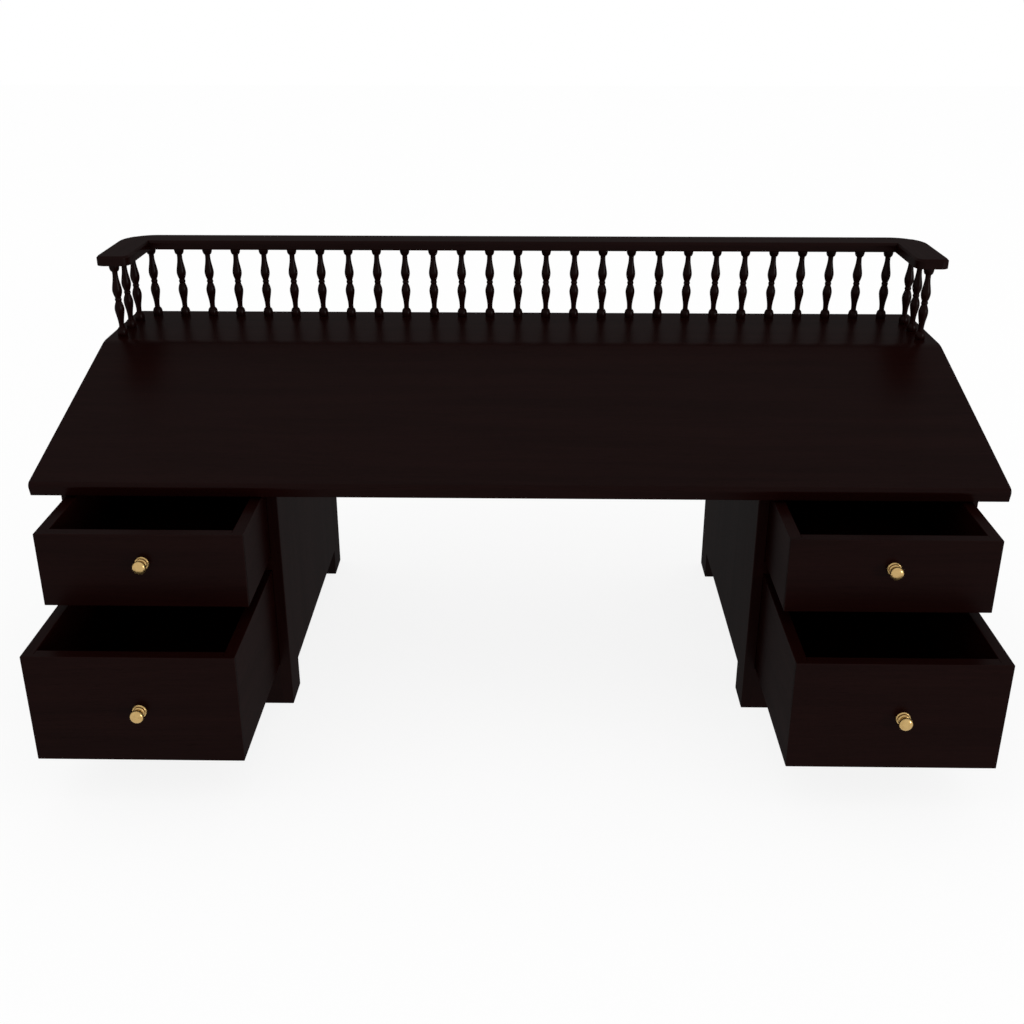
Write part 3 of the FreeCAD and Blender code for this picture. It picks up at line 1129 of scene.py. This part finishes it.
@dataclass
class Knob:
    """A turned brass knob on a drawer front."""

    body: str
    brass: Material
    flange_radius: float = 0.0087
    flange_thickness: float = 0.0014
    flange_slant: float = 0.0007
    ring_radius: float = 0.0068
    ring_thickness: float = 0.0014
    ring_slant: float = 0.0008
    ring_from_face: float = 0.0027
    neck_radius: float = 0.0051
    head_radius: float = 0.0083
    head_back_round: float = 0.0012
    head_back_from: float = -84.0
    head_back_steps: int = 7
    head_edge_round: float = 0.0042
    head_edge_from: float = 4.0
    head_edge_steps: int = 16
    head_dome: float = 0.0180
    head_dome_to: float = 89.5
    head_dome_steps: int = 7
    projection: float = 0.0155
    soft_edge: float = 0.0002
    sides: int = 56

    def disc(self, radius: float, start: float, thickness: float, slant: float) -> Profile:
        """Draws a thin disc with a slanted rim and a softened front edge.

        Args:
            radius: Its radius at the back.
            start: Distance of its back from the drawer's face.
            thickness: Its thickness.
            slant: How much smaller it is in front.

        Returns:
            (radius, distance from the drawer's face) pairs.
        """
        soft = self.soft_edge
        front = start + thickness
        return [
            (radius - soft / 2, start),
            (radius, start + soft / 2),
            (radius - slant, front - soft),
            (radius - slant - soft / 2, front - soft / 4),
            (radius - slant - soft * 2, front),
        ]

    def profile(self) -> Profile:
        """Draws the knob from the drawer's face outwards: flange, ring, neck and domed head.

        Returns:
            (radius, distance from the drawer's face) pairs.
        """
        edge_middle = self.head_radius - self.head_edge_round
        dome_middle = self.projection - self.head_dome
        dome_reach = self.head_dome - self.head_edge_round
        turn = math.asin(edge_middle / dome_reach)
        meet = 90.0 - math.degrees(turn)
        widest = dome_middle + dome_reach * math.cos(turn)
        head_back = widest - self.head_back_round - self.soft_edge
        ring_front = self.ring_from_face + self.ring_thickness
        points = self.disc(self.flange_radius, 0.0, self.flange_thickness, self.flange_slant)
        points += [(self.neck_radius, along) for along in (self.flange_thickness, self.ring_from_face)]
        points += self.disc(self.ring_radius, self.ring_from_face, self.ring_thickness, self.ring_slant)
        points += [(self.neck_radius, along) for along in (ring_front, head_back)]
        back = (self.head_radius - self.head_back_round, widest)
        points += arc(back, self.head_back_round, self.head_back_from, 0.0, self.head_back_steps)
        edge = (edge_middle, widest)
        points += arc(edge, self.head_edge_round, self.head_edge_from, meet, self.head_edge_steps)
        dome = (0.0, dome_middle)
        points += arc(dome, self.head_dome, meet, self.head_dome_to, self.head_dome_steps)[1:]
        return points

    def build(self) -> None:
        """Turns the knob in place of its node."""
        node = self.body + "_knob"
        foot = middle_of(node)
        foot.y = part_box(node)[1].y
        frame = Matrix.Translation(foot) @ Matrix.Rotation(QUARTER_TURN, 4, "X")
        mesh = lathe(node + "_turned", self.profile(), self.sides, frame)
        mesh.materials.append(self.brass)
        settle(put_in_scene(node + "_turned", mesh), self.body, node)


@dataclass
class Drawer:
    """One drawer: five boards, a knob and the screw that holds it."""

    boards: BoardShop
    hand: Hand
    level: Level
    brass: Material
    steel: Material
    screw_radius: float = 0.0042

    def build(self) -> None:
        """Eases the boards, turns the knob and sets its screw."""
        body = f"{self.hand.value}_{self.level.value}_drawer"
        runs = {
            GrainRun.ALONG_WIDTH: ("front", "back", "bottom"),
            GrainRun.ALONG_DEPTH: ("side_left", "side_right"),
        }
        self.boards.ease_all(body + "_", runs)
        Knob(body, self.brass).build()
        inside = middle_of(f"{body}_knob")
        inside.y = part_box(f"{body}_front")[1].y
        ScrewSet(body, self.steel, self.screw_radius, seats=[(inside, TO_THE_BACK)]).build()


@dataclass(frozen=True)
class Studio:
    """Camera, soft light and a pale floor."""

    lens: float = 43.675
    sensor: float = 36.0
    near_and_far: Spot = (0.05, 60.0)
    eye: Triple = (0.01833, -1.54398, 0.91931)
    pitch_down: float = 23.93
    turn_left: float = 0.99
    sky: float = 0.96
    key_place: Triple = (5.0, -3.8, 0.9)
    key_target: Triple = (0.0, -0.1, 0.15)
    key_size: float = 1.2
    key_watts: float = 120.0
    floor: PaleFloor = PaleFloor()
    floor_reach: float = 9.0

    def camera(self) -> None:
        """Stands the camera where the photograph was taken from."""
        data = bpy.data.cameras.new("view")
        data.sensor_width = self.sensor
        data.lens = self.lens
        data.clip_start, data.clip_end = self.near_and_far
        camera = put_in_scene("view", data)
        camera.location = self.eye
        camera.rotation_euler = (math.radians(90.0 - self.pitch_down), 0.0, math.radians(self.turn_left))
        bpy.context.scene.camera = camera

    def key_lamp(self) -> None:
        """Hangs a soft square lamp beside the camera."""
        data = bpy.data.lights.new("key", "AREA")
        data.size = self.key_size
        data.energy = self.key_watts
        lamp = put_in_scene("key", data)
        lamp.location = self.key_place
        way = Vector(self.key_target) - Vector(self.key_place)
        lamp.rotation_euler = way.to_track_quat("-Z", "Y").to_euler()
        lamp.visible_camera = False

    def world(self) -> None:
        """Makes a world that is white to the eye and to metal, and an even sky for light."""
        world = bpy.data.worlds.new("even_sky")
        bpy.context.scene.world = world
        world.use_nodes = True
        world.node_tree.nodes.clear()
        sheet = NodeSheet(world.node_tree)
        sky = sheet.add("ShaderNodeBackground", {"Color": WHITE, "Strength": self.sky}).outputs[0]
        mix = sheet.add("ShaderNodeMixShader", seen_as_white(sheet, sky, "ShaderNodeBackground"))
        sheet.add("ShaderNodeOutputWorld", {"Surface": mix.outputs[0]})

    def ground(self) -> None:
        """Lays the floor under the feet."""
        mesh = bpy.data.meshes.new("floor")
        reach = self.floor_reach
        corners = [(-reach, -reach, 0.0), (reach, -reach, 0.0), (reach, reach, 0.0), (-reach, reach, 0.0)]
        mesh.from_pydata(corners, [], [[0, 1, 2, 3]])
        mesh.materials.append(self.floor.material())
        put_in_scene("floor", mesh)

    def build(self) -> None:
        """Sets up everything round the desk."""
        self.camera()
        self.world()
        self.ground()
        self.key_lamp()
        bpy.context.scene.view_settings.view_transform = "Standard"


def main() -> None:
    """Builds the desk piece by piece."""
    logging.basicConfig(level=logging.INFO, format="%(name)s: %(message)s")
    Studio().build()
    steel = ScrewSteel().material()
    brass = TurnedBrass().material()
    boards = BoardShop(EspressoStain())
    DeskTop(boards).build()
    Gallery(boards).build()
    desk_screws = ScrewSet("desk", steel)
    for hand in Hand:
        pedestal = Pedestal(boards, hand)
        pedestal.build()
        desk_screws.seats += pedestal.back_screws()
        desk_screws.seats += pedestal.cleat_screws()
        for level in Level:
            Drawer(boards, hand, level, brass, steel).build()
    desk_screws.build()


if __name__ == "__main__":
    main()
